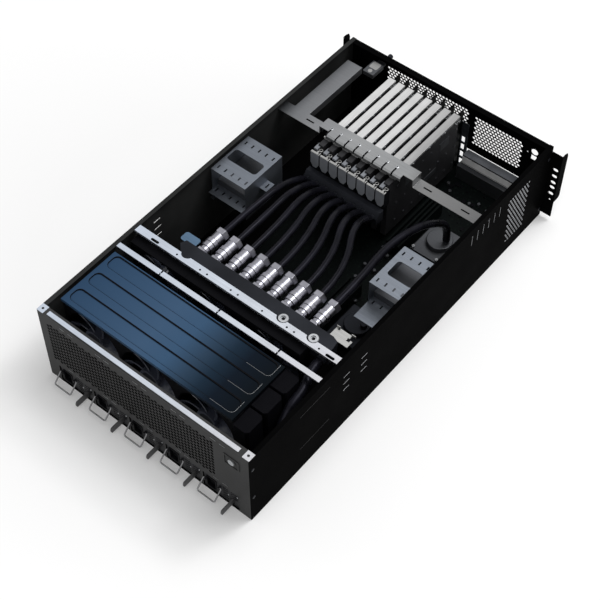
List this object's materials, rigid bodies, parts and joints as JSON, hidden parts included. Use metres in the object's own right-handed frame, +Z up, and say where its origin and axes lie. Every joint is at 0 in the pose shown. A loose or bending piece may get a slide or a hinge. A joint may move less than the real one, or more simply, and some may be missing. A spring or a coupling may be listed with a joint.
{
  "type": "4u gpu server",
  "caption": "Rack chassis with its lid off: liquid-cooled accelerator cards fed by hoses from quick couplings on a manifold, radiator with fans, and slide-in power supplies with wire bails.",
  "frame": {"origin": "centre of the chassis's bottom face", "axes": "+Y runs from the power supply end to the rack ear end, +X is to the right seen from the power supply end, +Z is up"},
  "size_m": [0.4826, 0.8558, 0.177],
  "materials": {
    "black_sheet": "matte",
    "grey_sheet": "satin",
    "bright_rail": "satin",
    "blue_lid": "gloss",
    "dark_core": "matte",
    "fan_plastic": "matte",
    "rotor_plastic": "satin",
    "dark_block": "satin",
    "coupling_metal": "polished",
    "hose_rubber": "satin",
    "board": "matte",
    "card_metal": "satin",
    "zinc_sheet": "satin",
    "terminal_grey": "satin",
    "retainer_metal": "satin",
    "dark_case": "satin",
    "latch_plastic": "satin"
  },
  "bodies": {
    "chassis": {"base_pan": "black_sheet", "left_side_wall": "black_sheet", "right_side_wall": "black_sheet", "psu_end_panel": "grey_sheet", "psu_cage": "black_sheet", "ear_end_panel": "black_sheet", "rack_ears": "black_sheet", "fan_frames": "fan_plastic", "radiator": "dark_core", "radiator_cover": "blue_lid", "top_rails": "bright_rail", "manifold_crossbar": "bright_rail", "coolant_manifolds": "dark_block", "coupling_bodies": "coupling_metal", "gpu_hoses": "hose_rubber", "return_hoses": "hose_rubber", "gpu_boards": "board", "gpu_cold_plates": "card_metal", "gpu_slot_brackets": "zinc_sheet", "gpu_terminals": "terminal_grey", "card_retainer": "retainer_metal", "drive_brackets": "zinc_sheet", "storage_drives": "card_metal", "motherboard": "board", "cpu_coolers": "coupling_metal", "memory_modules": "board", "io_ports": "retainer_metal", "small_brackets": "bright_rail", "screws": "coupling_metal"},
    "psu_1_case": {"psu_1_case": "dark_case"},
    "psu_1_bail": {"psu_1_bail": "coupling_metal"},
    "psu_1_latch": {"psu_1_latch": "latch_plastic"},
    "psu_2_case": {"psu_2_case": "dark_case"},
    "psu_2_bail": {"psu_2_bail": "coupling_metal"},
    "psu_2_latch": {"psu_2_latch": "latch_plastic"},
    "psu_3_case": {"psu_3_case": "dark_case"},
    "psu_3_bail": {"psu_3_bail": "coupling_metal"},
    "psu_3_latch": {"psu_3_latch": "latch_plastic"},
    "psu_4_case": {"psu_4_case": "dark_case"},
    "psu_4_bail": {"psu_4_bail": "coupling_metal"},
    "psu_4_latch": {"psu_4_latch": "latch_plastic"},
    "psu_5_case": {"psu_5_case": "dark_case"},
    "psu_5_bail": {"psu_5_bail": "coupling_metal"},
    "psu_5_latch": {"psu_5_latch": "latch_plastic"},
    "fan_rotor_1": {"fan_rotor_1": "rotor_plastic"},
    "fan_rotor_2": {"fan_rotor_2": "rotor_plastic"},
    "fan_rotor_3": {"fan_rotor_3": "rotor_plastic"},
    "fan_rotor_4": {"fan_rotor_4": "rotor_plastic"},
    "fan_rotor_5": {"fan_rotor_5": "rotor_plastic"},
    "fan_rotor_6": {"fan_rotor_6": "rotor_plastic"},
    "coupling_sleeve_1": {"coupling_sleeve_1": "coupling_metal"},
    "coupling_sleeve_2": {"coupling_sleeve_2": "coupling_metal"},
    "coupling_sleeve_3": {"coupling_sleeve_3": "coupling_metal"},
    "coupling_sleeve_4": {"coupling_sleeve_4": "coupling_metal"},
    "coupling_sleeve_5": {"coupling_sleeve_5": "coupling_metal"},
    "coupling_sleeve_6": {"coupling_sleeve_6": "coupling_metal"},
    "coupling_sleeve_7": {"coupling_sleeve_7": "coupling_metal"},
    "coupling_sleeve_8": {"coupling_sleeve_8": "coupling_metal"},
    "coupling_sleeve_9": {"coupling_sleeve_9": "coupling_metal"},
    "power_button": {"power_button": "bright_rail"}
  },
  "joints": [
    {"name": "psu_1_pull_out", "type": "slide", "parent": "chassis", "child": "psu_1_case", "axis": [0, -1, 0], "range_m": [0, 0.18]},
    {"name": "psu_1_bail_swing", "type": "hinge", "parent": "psu_1_case", "child": "psu_1_bail", "pos_m": [-0.1747, -0.4064, 0.029], "axis": [1, 0, 0], "range_deg": [-100, 38]},
    {"name": "psu_1_latch_press", "type": "hinge", "parent": "psu_1_case", "child": "psu_1_latch", "pos_m": [-0.1354, -0.3999, 0.012], "axis": [0, 0, -1], "range_deg": [0, 8], "stiffness_Nm_per_rad": 1},
    {"name": "psu_2_pull_out", "type": "slide", "parent": "chassis", "child": "psu_2_case", "axis": [0, -1, 0], "range_m": [0, 0.18]},
    {"name": "psu_2_bail_swing", "type": "hinge", "parent": "psu_2_case", "child": "psu_2_bail", "pos_m": [-0.096, -0.4064, 0.029], "axis": [1, 0, 0], "range_deg": [-100, 38]},
    {"name": "psu_2_latch_press", "type": "hinge", "parent": "psu_2_case", "child": "psu_2_latch", "pos_m": [-0.0567, -0.3999, 0.012], "axis": [0, 0, -1], "range_deg": [0, 8], "stiffness_Nm_per_rad": 1},
    {"name": "psu_3_pull_out", "type": "slide", "parent": "chassis", "child": "psu_3_case", "axis": [0, -1, 0], "range_m": [0, 0.18]},
    {"name": "psu_3_bail_swing", "type": "hinge", "parent": "psu_3_case", "child": "psu_3_bail", "pos_m": [-0.0173, -0.4064, 0.029], "axis": [1, 0, 0], "range_deg": [-100, 38]},
    {"name": "psu_3_latch_press", "type": "hinge", "parent": "psu_3_case", "child": "psu_3_latch", "pos_m": [0.022, -0.3999, 0.012], "axis": [0, 0, -1], "range_deg": [0, 8], "stiffness_Nm_per_rad": 1},
    {"name": "psu_4_pull_out", "type": "slide", "parent": "chassis", "child": "psu_4_case", "axis": [0, -1, 0], "range_m": [0, 0.18]},
    {"name": "psu_4_bail_swing", "type": "hinge", "parent": "psu_4_case", "child": "psu_4_bail", "pos_m": [0.0614, -0.4064, 0.029], "axis": [1, 0, 0], "range_deg": [-100, 38]},
    {"name": "psu_4_latch_press", "type": "hinge", "parent": "psu_4_case", "child": "psu_4_latch", "pos_m": [0.1007, -0.3999, 0.012], "axis": [0, 0, -1], "range_deg": [0, 8], "stiffness_Nm_per_rad": 1},
    {"name": "psu_5_pull_out", "type": "slide", "parent": "chassis", "child": "psu_5_case", "axis": [0, -1, 0], "range_m": [0, 0.18]},
    {"name": "psu_5_bail_swing", "type": "hinge", "parent": "psu_5_case", "child": "psu_5_bail", "pos_m": [0.1401, -0.4064, 0.029], "axis": [1, 0, 0], "range_deg": [-100, 38]},
    {"name": "psu_5_latch_press", "type": "hinge", "parent": "psu_5_case", "child": "psu_5_latch", "pos_m": [0.1794, -0.3999, 0.012], "axis": [0, 0, -1], "range_deg": [0, 8], "stiffness_Nm_per_rad": 1},
    {"name": "fan_1_spin", "type": "hinge", "parent": "chassis", "child": "fan_rotor_1", "pos_m": [-0.148, -0.3495, 0.1045], "axis": [0, 1, 0], "continuous": true},
    {"name": "fan_2_spin", "type": "hinge", "parent": "chassis", "child": "fan_rotor_2", "pos_m": [-0.028, -0.3495, 0.1045], "axis": [0, 1, 0], "continuous": true},
    {"name": "fan_3_spin", "type": "hinge", "parent": "chassis", "child": "fan_rotor_3", "pos_m": [0.092, -0.3495, 0.1045], "axis": [0, 1, 0], "continuous": true},
    {"name": "fan_4_spin", "type": "hinge", "parent": "chassis", "child": "fan_rotor_4", "pos_m": [-0.148, -0.193, 0.1045], "axis": [0, 1, 0], "continuous": true},
    {"name": "fan_5_spin", "type": "hinge", "parent": "chassis", "child": "fan_rotor_5", "pos_m": [-0.028, -0.193, 0.1045], "axis": [0, 1, 0], "continuous": true},
    {"name": "fan_6_spin", "type": "hinge", "parent": "chassis", "child": "fan_rotor_6", "pos_m": [0.092, -0.193, 0.1045], "axis": [0, 1, 0], "continuous": true},
    {"name": "sleeve_1_pull", "type": "slide", "parent": "chassis", "child": "coupling_sleeve_1", "axis": [0, -1, 0], "range_m": [0, 0.005], "stiffness_N_per_m": 2000},
    {"name": "sleeve_2_pull", "type": "slide", "parent": "chassis", "child": "coupling_sleeve_2", "axis": [0, -1, 0], "range_m": [0, 0.005], "stiffness_N_per_m": 2000},
    {"name": "sleeve_3_pull", "type": "slide", "parent": "chassis", "child": "coupling_sleeve_3", "axis": [0, -1, 0], "range_m": [0, 0.005], "stiffness_N_per_m": 2000},
    {"name": "sleeve_4_pull", "type": "slide", "parent": "chassis", "child": "coupling_sleeve_4", "axis": [0, -1, 0], "range_m": [0, 0.005], "stiffness_N_per_m": 2000},
    {"name": "sleeve_5_pull", "type": "slide", "parent": "chassis", "child": "coupling_sleeve_5", "axis": [0, -1, 0], "range_m": [0, 0.005], "stiffness_N_per_m": 2000},
    {"name": "sleeve_6_pull", "type": "slide", "parent": "chassis", "child": "coupling_sleeve_6", "axis": [0, -1, 0], "range_m": [0, 0.005], "stiffness_N_per_m": 2000},
    {"name": "sleeve_7_pull", "type": "slide", "parent": "chassis", "child": "coupling_sleeve_7", "axis": [0, -1, 0], "range_m": [0, 0.005], "stiffness_N_per_m": 2000},
    {"name": "sleeve_8_pull", "type": "slide", "parent": "chassis", "child": "coupling_sleeve_8", "axis": [0, -1, 0], "range_m": [0, 0.005], "stiffness_N_per_m": 2000},
    {"name": "sleeve_9_pull", "type": "slide", "parent": "chassis", "child": "coupling_sleeve_9", "axis": [0, -1, 0], "range_m": [0, 0.005], "stiffness_N_per_m": 2000},
    {"name": "power_button_press", "type": "slide", "parent": "chassis", "child": "power_button", "axis": [0, 1, 0], "range_m": [0, 0.002], "stiffness_N_per_m": 1500}
  ]
}
